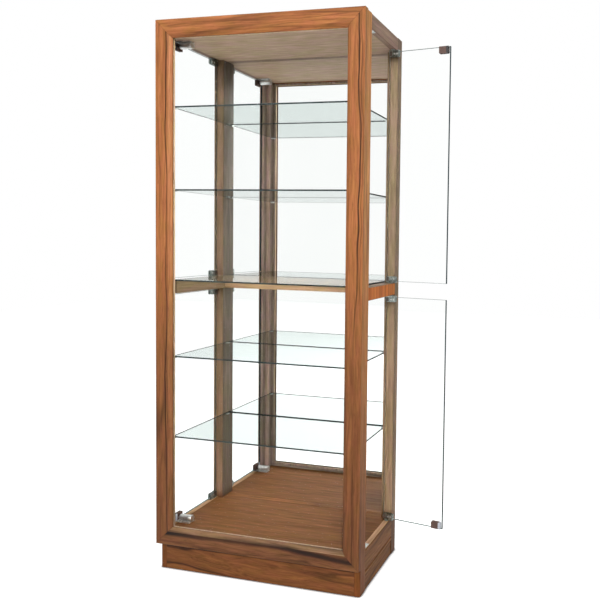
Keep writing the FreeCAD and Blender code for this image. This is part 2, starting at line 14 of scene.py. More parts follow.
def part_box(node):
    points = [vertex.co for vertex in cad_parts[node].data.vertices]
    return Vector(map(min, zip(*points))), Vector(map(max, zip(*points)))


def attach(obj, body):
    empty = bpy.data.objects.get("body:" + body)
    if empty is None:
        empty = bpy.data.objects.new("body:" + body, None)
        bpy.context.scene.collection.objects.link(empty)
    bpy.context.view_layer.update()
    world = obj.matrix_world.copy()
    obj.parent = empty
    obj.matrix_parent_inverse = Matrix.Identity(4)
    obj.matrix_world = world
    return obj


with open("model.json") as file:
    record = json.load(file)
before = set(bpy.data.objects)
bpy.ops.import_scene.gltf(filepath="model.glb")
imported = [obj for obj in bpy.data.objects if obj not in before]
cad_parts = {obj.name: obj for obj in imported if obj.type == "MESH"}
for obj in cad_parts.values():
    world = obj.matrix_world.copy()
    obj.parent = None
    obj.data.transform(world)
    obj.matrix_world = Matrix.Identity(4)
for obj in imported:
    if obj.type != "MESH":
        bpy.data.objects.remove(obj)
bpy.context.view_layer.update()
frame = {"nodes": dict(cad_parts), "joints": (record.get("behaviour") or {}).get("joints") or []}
nodes = frame["nodes"]
joints = {joint["name"]: joint for joint in frame["joints"]}

MM = 0.001
LEVELS = ("upper", "lower")
SIDES = {"left": -1, "right": 1}
DOORS = [f"{level}_{side}" for level in LEVELS for side in SIDES]
SHELVES = sum(name.removeprefix("shelf_").isdigit() for name in nodes)


# Node helpers


def srgb(red, green, blue):
    """Linear colour, with alpha, of an sRGB colour."""
    def linear(part):
        return part / 12.92 if part <= 0.04045 else ((part + 0.055) / 1.055) ** 2.4
    return (linear(red), linear(green), linear(blue), 1.0)


def material(name):
    made = bpy.data.materials.new(name)
    made.use_nodes = True
    return made, made.node_tree, made.node_tree.nodes["Principled BSDF"]


def give(tree, socket, given):
    """Link an input to another socket, or set it to a constant."""
    if isinstance(given, bpy.types.NodeSocket):
        tree.links.new(given, socket)
    else:
        socket.default_value = given


def fill(tree, made, inputs):
    for key, given in inputs.items():
        give(tree, made.inputs[key], given)
    return made


def node(tree, kind, inputs=None, **settings):
    made = tree.nodes.new(f"ShaderNode{kind}")
    for key, setting in settings.items():
        setattr(made, key, setting)
    return fill(tree, made, inputs or {})


def math_node(tree, operation, first, second=0.0):
    return node(tree, "Math", {0: first, 1: second}, operation=operation).outputs["Value"]


def vector_math(tree, operation, inputs, result="Vector"):
    return node(tree, "VectorMath", inputs, operation=operation).outputs[result]


def object_coords(tree):
    """Coordinates in metres, as at rest."""
    return node(tree, "TexCoord").outputs["Object"]


def object_axes(tree):
    return node(tree, "SeparateXYZ", {"Vector": object_coords(tree)}).outputs


def stretched(tree, vector, across, along):
    """Coordinates scaled across and along the grain."""
    made = node(tree, "Mapping", {"Vector": vector, "Scale": (across, across, along)})
    return made.outputs["Vector"]


def noise(tree, vector, detail=2.0, rough=0.5, scale=1.0):
    inputs = {"Vector": vector, "Scale": scale, "Detail": detail, "Roughness": rough}
    return node(tree, "TexNoise", inputs).outputs


def between(tree, number, low, high, out_low, out_high):
    """Number taken from one range to another, held at its ends."""
    limits = {"From Min": low, "From Max": high, "To Min": out_low, "To Max": out_high}
    return node(tree, "MapRange", {"Value": number, **limits}).outputs["Result"]


def ramp(tree, number, stops):
    """Colour ramp through (place, colour) stops."""
    made = node(tree, "ValToRGB", {"Fac": number})
    elements = made.color_ramp.elements
    while len(elements) < len(stops):
        elements.new(1.0)
    for element, (place, colour) in zip(elements, stops):
        element.position = place
        element.color = colour
    return made.outputs["Color"]


def mixed(tree, share, first, second, blend="MIX"):
    made = node(tree, "Mix", data_type="RGBA", blend_type=blend)
    colours = [socket for socket in made.inputs if socket.type == "RGBA"]
    share_socket = next(socket for socket in made.inputs if socket.type == "VALUE")
    for socket, given in zip([share_socket] + colours, (share, first, second)):
        give(tree, socket, given)
    return next(socket for socket in made.outputs if socket.type == "RGBA")


def bumped(tree, height, strength, distance):
    made = node(tree, "Bump", {"Height": height, "Strength": strength, "Distance": distance})
    return made.outputs["Normal"]


MASK_SAMPLES = 4
EDGE_TURN = (0.75, 0.995)


def edge_mask(tree, radius):
    """Near 1 along outer edges and 0 on flat faces."""
    eased = node(tree, "Bevel", {"Radius": radius}, samples=MASK_SAMPLES).outputs["Normal"]
    flat = node(tree, "NewGeometry").outputs["Normal"]
    turn = vector_math(tree, "DOT_PRODUCT", {0: eased, 1: flat}, "Value")
    return between(tree, turn, *EDGE_TURN, 1.0, 0.0)


def open_sky(tree, distance, samples):
    """1 in the open, lower near other faces."""
    return node(tree, "AmbientOcclusion", {"Distance": distance}, samples=samples).outputs["AO"]


# Walnut

STREAK_PITCH = 95.0
STREAK_WAVE = 0.03
# Four tones, strength of fine and bold veins, painted shade low down, gloss, pitch and wave of the streaks
FINISH_FIELDS = "light middle dark vein fine bold lows gloss pitch wave"
Finish = namedtuple("Finish", FINISH_FIELDS, defaults=[STREAK_PITCH, STREAK_WAVE])
# Painted shade, darker towards the bottom: a tint that sets in below one height and is full below another
Low = namedtuple("Low", "tint start full")
# Dark line about a place on an axis: its half width and wander, the heights it fades in between, and
# the two places along X between which it dives and how deep
Band = namedtuple("Band", "axis place half wander ends dive", defaults=[None, None])
# Noise: its scale across and along the grain, detail and roughness
Layer = namedtuple("Layer", "across along detail rough", defaults=[0.5])
# Painted shade: each walnut darkens towards the bottom of the case
FRONT_LOW_SHADE = [Low((0.80, 0.80, 0.80), 1.10, 0.70), Low((0.89, 0.89, 0.92), 0.55, 0.15)]
POST_LOW_SHADE = [Low((0.86, 0.81, 0.75), 1.15, 0.75), Low((0.71, 0.65, 0.60), 0.60, 0.20)]
FOOT_LOW_SHADE = [Low((1.05, 1.01, 0.98), 0.95, 0.45), Low((0.78, 0.66, 0.56), 0.16, 0.13)]
WALNUT = {
    "front": Finish((0.70, 0.455, 0.28), (0.64, 0.405, 0.24), (0.555, 0.34, 0.20), (0.22, 0.13, 0.075),
                    0.40, 0.60, FRONT_LOW_SHADE, 0.14),
    "figured": Finish((0.72, 0.49, 0.31), (0.64, 0.42, 0.26), (0.50, 0.31, 0.19), (0.14, 0.08, 0.06),
                      0.60, 0.75, FRONT_LOW_SHADE, 0.14, STREAK_PITCH, 0.05),
    # Painted highlight: lighter copies of the front walnut for the left stile's bevel and the bottom rail's
    # bevel
    "edged": Finish((0.77, 0.53, 0.35), (0.71, 0.47, 0.295), (0.62, 0.39, 0.235), (0.28, 0.165, 0.10),
                    0.35, 0.45, FRONT_LOW_SHADE, 0.14),
    "worn": Finish((0.92, 0.76, 0.58), (0.84, 0.66, 0.47), (0.70, 0.52, 0.36), (0.16, 0.09, 0.065),
                   0.20, 0.25, FRONT_LOW_SHADE, 0.14),
    "pale": Finish((0.90, 0.80, 0.67), (0.84, 0.73, 0.59), (0.76, 0.64, 0.51), (0.58, 0.46, 0.36),
                   0.20, 0.20, FRONT_LOW_SHADE, 0.10),
    "post": Finish((0.84, 0.605, 0.37), (0.765, 0.535, 0.32), (0.64, 0.425, 0.245), (0.32, 0.195, 0.11),
                   0.40, 0.55, POST_LOW_SHADE, 0.12),
    # Painted light: paler, greyer copies of the walnut for faces turned to the back and inside
    "inner": Finish((0.65, 0.58, 0.53), (0.59, 0.52, 0.475), (0.51, 0.445, 0.41), (0.40, 0.335, 0.30),
                    0.30, 0.30, None, 0.10),
    "rear": Finish((0.83, 0.73, 0.67), (0.76, 0.66, 0.60), (0.67, 0.57, 0.52), (0.50, 0.41, 0.365),
                   0.30, 0.30, None, 0.10),
    "grey": Finish((0.51, 0.44, 0.355), (0.45, 0.38, 0.305), (0.385, 0.32, 0.25), (0.28, 0.225, 0.175),
                   0.35, 0.35, FOOT_LOW_SHADE, 0.10),
    # Painted light and shade on the left back post: dun for its front faces, darker drab for the rest
    "dun": Finish((0.50, 0.415, 0.335), (0.445, 0.36, 0.285), (0.385, 0.305, 0.24), (0.29, 0.225, 0.175),
                  0.35, 0.35, FOOT_LOW_SHADE, 0.10),
    "drab": Finish((0.43, 0.39, 0.345), (0.375, 0.335, 0.295), (0.325, 0.285, 0.25), (0.26, 0.22, 0.19),
                   0.35, 0.35, FOOT_LOW_SHADE, 0.10),
    "top": Finish((0.62, 0.52, 0.45), (0.56, 0.46, 0.395), (0.49, 0.40, 0.34), (0.40, 0.31, 0.26),
                  0.30, 0.30, None, 0.12),
    # Painted light: brighter copies for the outer faces of the mid rails and hinge blocks
    "orange": Finish((0.84, 0.505, 0.235), (0.74, 0.42, 0.18), (0.58, 0.295, 0.115), (0.36, 0.17, 0.065),
                     0.45, 0.60, None, 0.10, 45.0),
    "amber": Finish((0.86, 0.525, 0.235), (0.78, 0.455, 0.19), (0.67, 0.38, 0.155), (0.30, 0.15, 0.06),
                    0.35, 0.35, None, 0.10, 45.0),
    "tan": Finish((0.65, 0.53, 0.41), (0.59, 0.475, 0.36), (0.53, 0.42, 0.315), (0.44, 0.34, 0.25),
                  0.25, 0.25, None, 0.10),
    "olive": Finish((0.55, 0.46, 0.36), (0.50, 0.41, 0.315), (0.44, 0.36, 0.275), (0.35, 0.28, 0.21),
                    0.25, 0.25, None, 0.10),
    # Painted highlight: a lighter copy for the top faces of the side bottom rails
    "strip": Finish((0.80, 0.66, 0.52), (0.74, 0.59, 0.45), (0.66, 0.52, 0.39), (0.50, 0.38, 0.28),
                    0.25, 0.25, None, 0.10),
    "soffit": Finish((0.735, 0.635, 0.55), (0.705, 0.605, 0.52), (0.675, 0.575, 0.49), (0.62, 0.52, 0.44),
                     0.12, 0.10, None, 0.06),
    "floor": Finish((0.47, 0.315, 0.195), (0.425, 0.28, 0.165), (0.38, 0.24, 0.14), (0.28, 0.175, 0.10),
                    0.30, 0.25, None, 0.05),
    "plinth": Finish((0.55, 0.35, 0.20), (0.48, 0.30, 0.17), (0.41, 0.25, 0.14), (0.17, 0.095, 0.055),
                     0.50, 0.90, None, 0.10, 70.0, 0.09),
    "base": Finish((0.54, 0.36, 0.19), (0.46, 0.295, 0.15), (0.39, 0.24, 0.12), (0.20, 0.115, 0.055),
                   0.50, 0.60, None, 0.08, 70.0, 0.06),
}
GRAIN_ORDER = {"X": "YZX", "Y": "ZXY", "Z": "XYZ"}
LAYERS = {
    "wander": Layer(7.0, 2.4, 3.0),
    "sway": Layer(2.0, 3.2, 2.0),
    "streaks": Layer(STREAK_PITCH, 1.8, 4.0, 0.6),
    "figure": Layer(24.0, 1.1, 2.0),
    "contour": Layer(13.0, 0.55, 1.5),
    "patches": Layer(6.0, 1.4, 2.0),
    "spells": Layer(4.0, 2.2, 1.0),
    "mottle": Layer(60.0, 16.0, 3.0),
    "ticks": Layer(260.0, 11.0, 2.0),
    "fibres": Layer(420.0, 9.0, 3.0, 0.6),
    "pores": Layer(900.0, 34.0, 1.0),
}
TONE_PLACES = (0.3, 0.5, 0.72)
# Number of contours and share of each that is dark
FINE_VEINS = (9.0, 0.24)
BOLD_VEINS = (8.0, 0.26)
ECHO_APART = 2.4
ECHO_STRENGTH = 0.5
BLUSH = [(0.34, (0.93, 0.99, 0.84, 1)), (0.66, (1.07, 1.0, 1.1, 1))]
DASHES = [(0.36, (0.80, 0.78, 0.76, 1)), (0.62, (1.05, 1.05, 1.05, 1))]
SHADING = [(0.3, (0.86, 0.84, 0.82, 1)), (0.7, (1.06, 1.05, 1.05, 1))]
EDGE_LINE = 1.8 * MM
EDGE_DARKENING = 0.6
# Painted shade in joints and recesses: how far it reaches and how dark it gets
CREVICE_SHADE_REACH = 3.0 * MM
CREVICE_SHADE_DARKENING = 0.65
PORE_DARKENING = 0.45


def grain_axes(tree, grain):
    """Row-frame axes, and coordinates turned so that Z runs along the grain."""
    axes = object_axes(tree)
    turned = dict(zip("XYZ", (axes[axis] for axis in GRAIN_ORDER[grain])))
    return axes, node(tree, "CombineXYZ", turned).outputs["Vector"]


def layer(tree, board, shape, result="Fac"):
    """Noise stretched along the grain of a board."""
    vector = stretched(tree, board, shape.across, shape.along)
    return noise(tree, vector, shape.detail, shape.rough)[result]


def wavering(tree, board, reach):
    """Coordinates that wander slowly to both sides of the grain."""
    wander = layer(tree, board, LAYERS["wander"], "Color")
    centred = vector_math(tree, "SUBTRACT", {0: wander, 1: (0.5, 0.5, 0.5)})
    shift = vector_math(tree, "SCALE", {0: centred, "Scale": reach})
    return vector_math(tree, "ADD", {0: board, 1: shift})


def vein_lines(tree, field, veins, patches, strength):
    """Dark lines along the contours of a noise field, which come and go with the patches."""
    count, width = veins
    bands = math_node(tree, "MULTIPLY", field, count)
    waves = math_node(tree, "PINGPONG", bands, 1.0)
    lines = between(tree, waves, 0.0, width, 1.0, 0.0)
    return math_node(tree, "MULTIPLY", lines, between(tree, patches, 0.40, 0.60, 0.08, strength))


def heart_line(tree, board, axes, band, spells):
    """Dark line with a fainter one beside it, which wanders along the grain about a place across it."""
    wave = layer(tree, board, LAYERS["sway"])
    sway = between(tree, wave, 0.25, 0.75, -band.wander, band.wander)
    aside = math_node(tree, "SUBTRACT", math_node(tree, "ADD", axes[band.axis], sway), band.place)
    if band.dive:
        start, end, depth = band.dive
        aside = math_node(tree, "ADD", aside, between(tree, axes["X"], start, end, 0.0, depth))
    away = math_node(tree, "ABSOLUTE", aside)
    line = between(tree, away, 0.3 * band.half, band.half, 1.0, 0.0)
    past = math_node(tree, "ABSOLUTE", math_node(tree, "SUBTRACT", aside, ECHO_APART * band.half))
    echo = between(tree, past, 0.2 * band.half, 0.8 * band.half, ECHO_STRENGTH, 0.0)
    both = math_node(tree, "MAXIMUM", line, echo)
    shown = math_node(tree, "MULTIPLY", both, between(tree, spells, 0.35, 0.60, 0.6, 1.0))
    if band.ends:
        shown = math_node(tree, "MULTIPLY", shown, between(tree, axes["Z"], *band.ends, 0.15, 1.0))
    return shown


def veined(tree, look, axes, board, bent, band):
    """Soft streaks of three tones with fine and bold veins, and a heart line where there is a band."""
    spells = layer(tree, board, LAYERS["spells"])
    streaks = layer(tree, bent, LAYERS["streaks"]._replace(across=look.pitch))
    tones = [srgb(*tone) for tone in (look.dark, look.middle, look.light)]
    colour = ramp(tree, streaks, list(zip(TONE_PLACES, tones)))
    fine = layer(tree, bent, LAYERS["figure"]), FINE_VEINS, layer(tree, board, LAYERS["patches"]), look.fine
    bold = layer(tree, bent, LAYERS["contour"]), BOLD_VEINS, spells, look.bold
    for lines in (fine, bold):
        colour = mixed(tree, vein_lines(tree, *lines), colour, srgb(*look.vein))
    if band:
        colour = mixed(tree, heart_line(tree, board, axes, band, spells), colour, srgb(*look.vein))
    return colour


def shaded_low(tree, colour, height, lows):
    """Colour that takes on each tint of a list further down: painted shade, darker towards the bottom."""
    for low in lows or []:
        share = between(tree, height, low.full, low.start, 1.0, 0.0)
        colour = mixed(tree, share, colour, mixed(tree, 1.0, colour, srgb(*low.tint), "MULTIPLY"))
    return colour


def outlined_and_shaded(tree, colour, vein):
    """Colour that darkens along edges, with painted shade in joints and recesses."""
    outline = between(tree, edge_mask(tree, EDGE_LINE), 0.1, 0.8, 0.0, EDGE_DARKENING)
    colour = mixed(tree, outline, colour, vein)
    # Painted shade where other faces come close
    sky = open_sky(tree, CREVICE_SHADE_REACH, MASK_SAMPLES)
    return mixed(tree, between(tree, sky, 0.40, 0.85, CREVICE_SHADE_DARKENING, 0.0), colour, vein)


def walnut(finish, grain, band=None):
    """Lacquered walnut: soft streaks, dark veins, mottling, fibres and pores, dark edges, and painted shade
    in joints, in recesses and low down.
    """
    look = WALNUT[finish]
    made, tree, shader = material(f"walnut_{finish}_{grain.lower()}")
    axes, board = grain_axes(tree, grain)
    bent = wavering(tree, board, look.wave)
    mottle = layer(tree, board, LAYERS["mottle"])
    ticks, fibres, pores = (layer(tree, bent, LAYERS[kind]) for kind in ("ticks", "fibres", "pores"))

    vein = srgb(*look.vein)
    colour = veined(tree, look, axes, board, bent, band)
    for number, stops in ((mottle, BLUSH), (ticks, DASHES), (fibres, SHADING)):
        colour = mixed(tree, 1.0, colour, ramp(tree, number, stops), "MULTIPLY")
    colour = mixed(tree, between(tree, pores, 0.64, 0.72, 0.0, PORE_DARKENING), colour, vein)
    # Painted shade: darker towards the bottom, and in joints and recesses
    colour = outlined_and_shaded(tree, shaded_low(tree, colour, axes["Z"], look.lows), vein)

    relief = math_node(tree, "SUBTRACT", fibres, pores)
    fill(tree, shader, {
        "Base Color": colour,
        "Roughness": between(tree, fibres, 0.3, 0.7, 0.6, 0.46),
        "Normal": bumped(tree, relief, 0.06, 0.15 * MM),
        "Specular IOR Level": look.gloss,
    })
    return made


# Glass, mirror, metal and board

# Near 1, so that reflections of the bright studio don't veil what stands behind the panes
PANE_IOR = 1.02
SHELF_IOR = 1.06
PANE_TINT = (0.990, 0.998, 0.994, 1.0)
SHELF_TINT = (0.72, 0.78, 0.765, 1.0)
EDGE_DARK = srgb(0.16, 0.22, 0.23)
EDGE_PALE = srgb(0.50, 0.54, 0.53)
SHELF_EDGE = [
    (0.3, srgb(0.07, 0.09, 0.09)),
    (0.6, srgb(0.13, 0.17, 0.17)),
    (0.85, srgb(0.20, 0.25, 0.24)),
]
DOOR_RIM = 2.6 * MM
FOOT_RIM = 2.0 * MM
STRIKE_END = 13.0 * MM
RUBBED_EDGE = 0.8 * MM
DRAWN_LINES = (900.0, 40.0)
PIVOT_REACH = 25.0 * MM
PIVOT_CLEAR = 0.9
RIM_SOFT = 0.2 * MM


def door_reach():
    """Distance of a door pane's free edge from its pivot, taken from a door that rests closed."""
    pivot = joints["door_upper_left_hinge"]["pos_m"]
    return pivot[1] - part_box("door_glass_upper_left")[0].y


def free_edge(tree, width):
    """1 within a width of a door pane's free edge, else 0; the doors mirror each other in X."""
    pivot = joints["door_upper_right_hinge"]["pos_m"]
    axes = object_axes(tree)
    aside = math_node(tree, "SUBTRACT", math_node(tree, "ABSOLUTE", axes["X"]), pivot[0])
    along = math_node(tree, "SUBTRACT", axes["Y"], pivot[1])
    arm = node(tree, "CombineXYZ", {"X": aside, "Y": along}).outputs["Vector"]
    reach = vector_math(tree, "LENGTH", {0: arm}, "Value")
    inner = door_reach() - width
    return between(tree, reach, inner - RIM_SOFT, inner + RIM_SOFT, 0.0, 1.0)


def door_foot(tree):
    """1 along the ground foot of the lower door panes, else 0."""
    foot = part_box("door_glass_lower_left")[0].z + FOOT_RIM
    axes = object_axes(tree)
    return between(tree, axes["Z"], foot, foot + RIM_SOFT, 1.0, 0.0)


def clear_glass(name, tint, ior, is_door=False):
    """Float glass with faint wipe marks that lets lamp light through; a door's rim and foot are ground."""
    made, tree, shader = material(name)
    coords = object_coords(tree)
    marks = noise(tree, coords, detail=4.0, scale=9.0)["Fac"]
    fill(tree, shader, {
        "Base Color": tint,
        "Roughness": between(tree, marks, 0.45, 0.75, 0.0, 0.035),
        "Transmission Weight": 1.0,
        "IOR": ior,
    })
    if is_door:
        rim = free_edge(tree, DOOR_RIM)
        foot = door_foot(tree)
        ground = math_node(tree, "MAXIMUM", rim, foot)
        fill(tree, shader, {
            "Base Color": mixed(tree, rim, mixed(tree, foot, tint, EDGE_PALE), EDGE_DARK),
            "Transmission Weight": between(tree, ground, 0.0, 1.0, 1.0, 0.0),
        })
    through = node(tree, "BsdfTransparent", {"Color": PANE_TINT})
    from_lamp = node(tree, "LightPath").outputs["Is Shadow Ray"]
    choice = node(tree, "MixShader", {0: from_lamp, 1: shader.outputs[0], 2: through.outputs[0]})
    tree.links.new(choice.outputs[0], tree.nodes["Material Output"].inputs["Surface"])
    return made


def ground_edge(name, is_door=False):
    """Ground edge of the glass: dark sea green, pale on a door's other edges and clear at its pivot."""
    made, tree, shader = material(name)
    coords = object_coords(tree)
    drift = noise(tree, coords, detail=3.0, scale=14.0)["Fac"]
    grit = noise(tree, coords, detail=2.0, scale=1400.0)["Fac"]
    colour = ramp(tree, drift, SHELF_EDGE)
    if is_door:
        beyond_pivot = free_edge(tree, door_reach() - PIVOT_REACH)
        colour = mixed(tree, free_edge(tree, DOOR_RIM), EDGE_PALE, EDGE_DARK)
        clear = between(tree, beyond_pivot, 0.0, 1.0, PIVOT_CLEAR, 0.0)
        fill(tree, shader, {"Transmission Weight": clear, "IOR": PANE_IOR})
    fill(tree, shader, {
        "Base Color": colour,
        "Roughness": between(tree, grit, 0.3, 0.7, 0.3, 0.5),
        "Specular IOR Level": 0.2,
        "Normal": bumped(tree, grit, 0.15, 0.05 * MM),
    })
    return made


def mirror_silver():
    """Silvered glass with a faint cool cast and wipe marks."""
    made, tree, shader = material("mirror_silver")
    coords = object_coords(tree)
    cloud = noise(tree, coords, detail=3.0, scale=3.0)["Fac"]
    marks = noise(tree, coords, detail=5.0, scale=11.0)["Fac"]
    stops = [(0.3, (0.955, 0.965, 0.96, 1)), (0.7, (0.98, 0.985, 0.98, 1))]
    fill(tree, shader, {
        "Base Color": ramp(tree, cloud, stops),
        "Metallic": 1.0,
        "Roughness": between(tree, marks, 0.5, 0.8, 0.0, 0.03),
    })
    return made


def metal(name, dull, bright, rough):
    """Plated or satin metal: fine drawn lines, brighter where edges are rubbed."""
    made, tree, shader = material(name)
    coords = object_coords(tree)
    lines = noise(tree, stretched(tree, coords, *DRAWN_LINES), detail=2.0)["Fac"]
    stain = noise(tree, coords, detail=3.0, scale=120.0)["Fac"]
    colour = ramp(tree, stain, [(0.3, srgb(*dull)), (0.7, srgb(*bright))])
    rubbed = edge_mask(tree, RUBBED_EDGE)
    colour = mixed(tree, between(tree, rubbed, 0.2, 1.0, 0.0, 0.5), colour, srgb(*bright))
    fill(tree, shader, {
        "Base Color": colour,
        "Metallic": 1.0,
        "Roughness": between(tree, lines, 0.3, 0.7, rough - 0.08, rough + 0.08),
        "Normal": bumped(tree, lines, 0.12, 0.04 * MM),
    })
    return made


def moulded(name, base, worn, rough, end=None):
    """Plastic or paint with a fine orange-peel skin and paler edges; a strike's end has a tone of its own,
    which on the upper strikes is painted shade.
    """
    made, tree, shader = material(name)
    coords = object_coords(tree)
    peel = noise(tree, coords, detail=2.0, scale=900.0)["Fac"]
    cloud = noise(tree, coords, detail=3.0, scale=60.0)["Fac"]
    colour = ramp(tree, cloud, [(0.3, srgb(*base)), (0.75, srgb(*(1.15 * part for part in base)))])
    if end:
        colour = mixed(tree, free_edge(tree, STRIKE_END), colour, srgb(*end))
    rubbed = edge_mask(tree, RUBBED_EDGE)
    colour = mixed(tree, between(tree, rubbed, 0.2, 1.0, 0.0, 0.55), colour, srgb(*worn))
    fill(tree, shader, {
        "Base Color": colour,
        "Roughness": between(tree, peel, 0.3, 0.7, rough - 0.07, rough + 0.07),
        "Normal": bumped(tree, peel, 0.15, 0.06 * MM),
    })
    return made


def hardboard():
    """Brown hardboard with a pressed, speckled face."""
    made, tree, shader = material("hardboard")
    coords = object_coords(tree)
    specks = noise(tree, coords, detail=4.0, scale=420.0, rough=0.7)["Fac"]
    cloud = noise(tree, coords, detail=3.0, scale=5.0)["Fac"]
    colour = ramp(tree, cloud, [(0.3, srgb(0.42, 0.29, 0.19)), (0.7, srgb(0.50, 0.36, 0.24))])
    flecks = ramp(tree, specks, [(0.35, (0.72, 0.70, 0.68, 1)), (0.65, (1.08, 1.06, 1.04, 1))])
    fill(tree, shader, {
        "Base Color": mixed(tree, 1.0, colour, flecks, "MULTIPLY"),
        "Roughness": between(tree, specks, 0.3, 0.7, 0.62, 0.8),
        "Normal": bumped(tree, specks, 0.25, 0.12 * MM),
    })
    return made


FITTING_STEEL = metal("fitting_steel", (0.62, 0.62, 0.61), (0.82, 0.82, 0.80), 0.34)
HINGE_METAL = metal("hinge_metal", (0.43, 0.46, 0.44), (0.65, 0.68, 0.66), 0.3)
LATCH_METAL = metal("latch_metal", (0.74, 0.74, 0.73), (0.90, 0.90, 0.89), 0.36)
MAGNET_TIP = metal("magnet_tip", (0.66, 0.66, 0.65), (0.86, 0.86, 0.85), 0.24)
HINGE_PAD = moulded("hinge_pad", (0.26, 0.22, 0.19), (0.36, 0.31, 0.27), 0.45)
STRIKE_TONES = ((0.29, 0.20, 0.165), (0.46, 0.36, 0.31), 0.42)
# The upper strikes' dark end is painted shade; the lower ones' pale end is their silver-grey end
STRIKE_ENDS = {"upper": (0.12, 0.10, 0.10), "lower": (0.66, 0.67, 0.70)}
STRIKE_BROWN = {
    level: moulded(f"strike_{level}", *STRIKE_TONES, end)
    for level, end in STRIKE_ENDS.items()
}
STRIKE_CAP = {
    "upper": moulded("cap_dark", STRIKE_ENDS["upper"], (0.20, 0.17, 0.17), 0.4),
    "lower": moulded("cap_pale", STRIKE_ENDS["lower"], (0.78, 0.79, 0.82), 0.4),
}


# Finishes of the solids

# Walnut of each wooden node and the way its grain runs
WOODEN = {
    "front_rail_top": ("front", "X"),
    "front_glass_beads": ("pale", "Z"),
    "post_front_left": ("post", "Z"), "post_front_right": ("post", "Z"),
    # The left back post's darker drab and its dun front are painted shade and light
    "post_back_left": ("drab", "Z"), "post_back_right": ("grey", "Z"),
    "top_panel": ("post", "X"), "soffit_panel": ("soffit", "X"), "floor_panel": ("floor", "X"),
    "top_rail_left": ("top", "Y"), "top_rail_right": ("top", "Y"), "top_rail_back": ("top", "X"),
    "mid_rail_left": ("olive", "Y"), "mid_rail_right": ("olive", "Y"), "mid_rail_back": ("tan", "X"),
    "hinge_block_left": ("olive", "Y"), "hinge_block_right": ("olive", "Y"),
    "bottom_rail_left": ("base", "Y"), "bottom_rail_right": ("base", "Y"),
    "bottom_rail_back": ("base", "X"),
    "plinth_back": ("plinth", "X"), "plinth_left": ("base", "Y"), "plinth_right": ("base", "Y"),
}
ARRIS = 0.5 * MM
THIN_ARRIS = 0.3 * MM
LATCH_ARRIS = 0.4 * MM
CLIP_ARRIS = 0.6 * MM
STRIKE_ARRIS = 1.2 * MM
FRONT_PANE_ARRIS = 0.6 * MM
SHELF_ARRIS = 1.0 * MM
DOOR_ARRIS = 0.8 * MM
ARRIS_STEPS = 2
WELD_REACH = 0.01 * MM
# How far a face's normal has to point along an axis, straight or on a bevel
FACING = 0.9
LEANING = 0.2
# Heights between which the right stile's line fades in, and the dive of the bottom rail's band
HEART_ENDS = (0.70, 0.95)
HEART_DIVE = (0.12, 0.33, 18.0 * MM)
walnuts = {}


def walnut_of(finish, grain):
    key = (finish, grain)
    if key not in walnuts:
        walnuts[key] = walnut(finish, grain)
    return walnuts[key]


def dress(name, finish, arris=ARRIS):
    """Give a node its material and a fine arris along its edges."""
    thing = nodes[name]
    thing.data.materials.clear()
    thing.data.materials.append(finish)
    ease(thing, arris)


def dress_faces(name, finish, chosen):
    """Give those faces of a node whose normal passes a test another finish."""
    mesh = nodes[name].data
    mesh.materials.append(finish)
    for polygon in mesh.polygons:
        if chosen(polygon.normal):
            polygon.material_index = len(mesh.materials) - 1


def ease(thing, width):
    weld = thing.modifiers.new("weld", "WELD")
    weld.merge_threshold = WELD_REACH
    bevel = thing.modifiers.new("arris", "BEVEL")
    bevel.width = width
    bevel.segments = ARRIS_STEPS
    bevel.limit_method = "ANGLE"
    bevel.harden_normals = True
    return bevel


def across(name, axis, share):
    """Place at a share of a node's width along one axis."""
    low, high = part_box(name)
    index = "XYZ".index(axis)
    return low[index] + share * (high[index] - low[index])


def on_bevel(normal, inward):
    """Whether a front member's face leans forward and to its inner side."""
    return inward > LEANING and normal.y < -LEANING


def dress_front():
    """Front frame: a wandering dark line on the stiles, a dark band below, painted highlight on the left
    and bottom bevels, painted shadow beside the posts and paler grey backs as painted light.
    """
    left, right, below = "front_stile_left", "front_stile_right", "front_rail_bottom"
    left_line = Band("X", across(left, "X", 0.70), half=3.2 * MM, wander=8.0 * MM)
    right_line = Band("X", across(right, "X", 0.68), half=3.6 * MM, wander=12.0 * MM, ends=HEART_ENDS)
    shade = Band("Z", across(below, "Z", 0.75), half=11.0 * MM, wander=4.0 * MM, dive=HEART_DIVE)
    dress(left, walnut("front", "Z", left_line))
    dress(right, walnut("front", "Z", right_line))
    dress(below, walnut("figured", "X", shade))
    for side, sign in SIDES.items():
        stile = f"front_stile_{side}"
        # Painted shadow: a dark line on each stile's outer side where it meets the post
        joint_and_shadow_line = Band("Y", across(stile, "Y", 0.30), half=2.2 * MM, wander=2.0 * MM)
        # Painted light on the stiles' backs
        dress_faces(stile, walnut_of("inner", "Z"), lambda normal: normal.y > FACING)
        dress_faces(stile, walnut("post", "Z", joint_and_shadow_line), lambda normal: normal.x * sign > FACING)
    # Painted light on the rails' backs
    for end in ("top", "bottom"):
        dress_faces(f"front_rail_{end}", walnut_of("inner", "X"), lambda normal: normal.y > FACING)
    # Painted highlight on the bevels that face the lamps
    dress_faces(left, walnut_of("edged", "Z"), lambda normal: on_bevel(normal, normal.x))
    dress_faces(below, walnut("worn", "X", shade), lambda normal: on_bevel(normal, normal.z))


